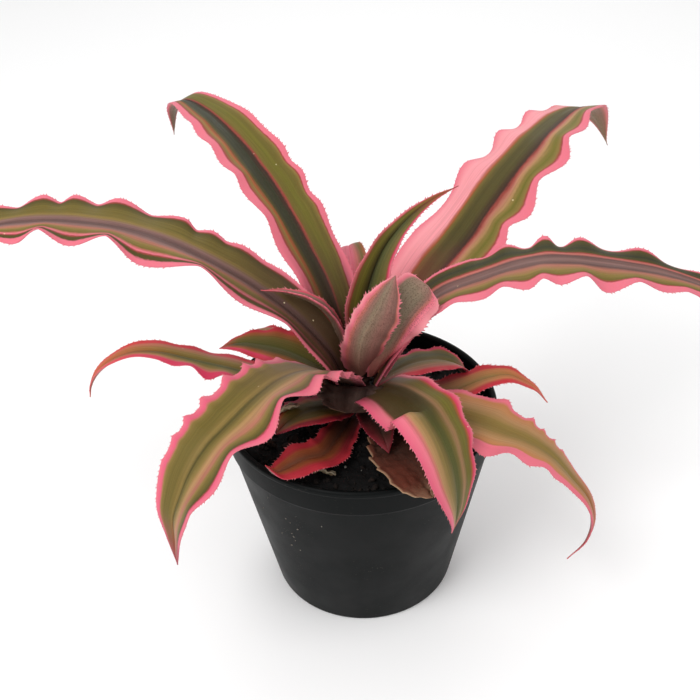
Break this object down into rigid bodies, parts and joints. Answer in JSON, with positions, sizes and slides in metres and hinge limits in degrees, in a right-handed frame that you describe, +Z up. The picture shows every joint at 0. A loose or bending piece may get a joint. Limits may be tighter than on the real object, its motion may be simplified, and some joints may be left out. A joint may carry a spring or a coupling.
{
  "type": "potted bromeliad",
  "caption": "Potted earth-star bromeliad: a loose rosette of arching, wavy, toothed pink-and-green leaves in a small round nursery pot.",
  "frame": {"origin": "centre of the pot's underside, on the surface it stands on", "axes": "+Z up along the pot's axis; -Y towards the side the plant is best seen from; +X to the right from there"},
  "size_m": [0.3356, 0.1721, 0.1737],
  "materials": {
    "pot_plastic": "satin moulded black",
    "potting_mix": "damp peat with bark and perlite",
    "stem": "fibrous",
    "leaf": "satin, green and brown bands with pink margins",
    "dry_leaf": "dry and scurfy"
  },
  "bodies": {
    "root": {"pot": "pot_plastic", "potting_mix": "potting_mix", "stem": "stem", "leaf_long_left": "leaf", "leaf_tall_back_left": "leaf", "leaf_tall_back_right": "leaf", "leaf_long_right": "leaf", "leaf_inner_back": "leaf", "leaf_young_front": "leaf", "leaf_young_right": "leaf", "leaf_slim_left": "leaf", "leaf_broad_front_left": "leaf", "leaf_broad_front_right": "leaf", "leaf_hooked_right": "leaf", "leaf_curled_left": "leaf", "leaf_short_left": "leaf", "leaf_short_right": "leaf", "leaf_slim_right": "leaf", "leaf_low_front_left": "leaf", "leaf_low_left": "leaf", "leaf_low_front": "leaf", "leaf_withered_front": "dry_leaf", "leaf_dry_heart": "dry_leaf", "leaf_low_back": "leaf", "leaf_low_back_left": "leaf"}
  },
  "joints": []
}
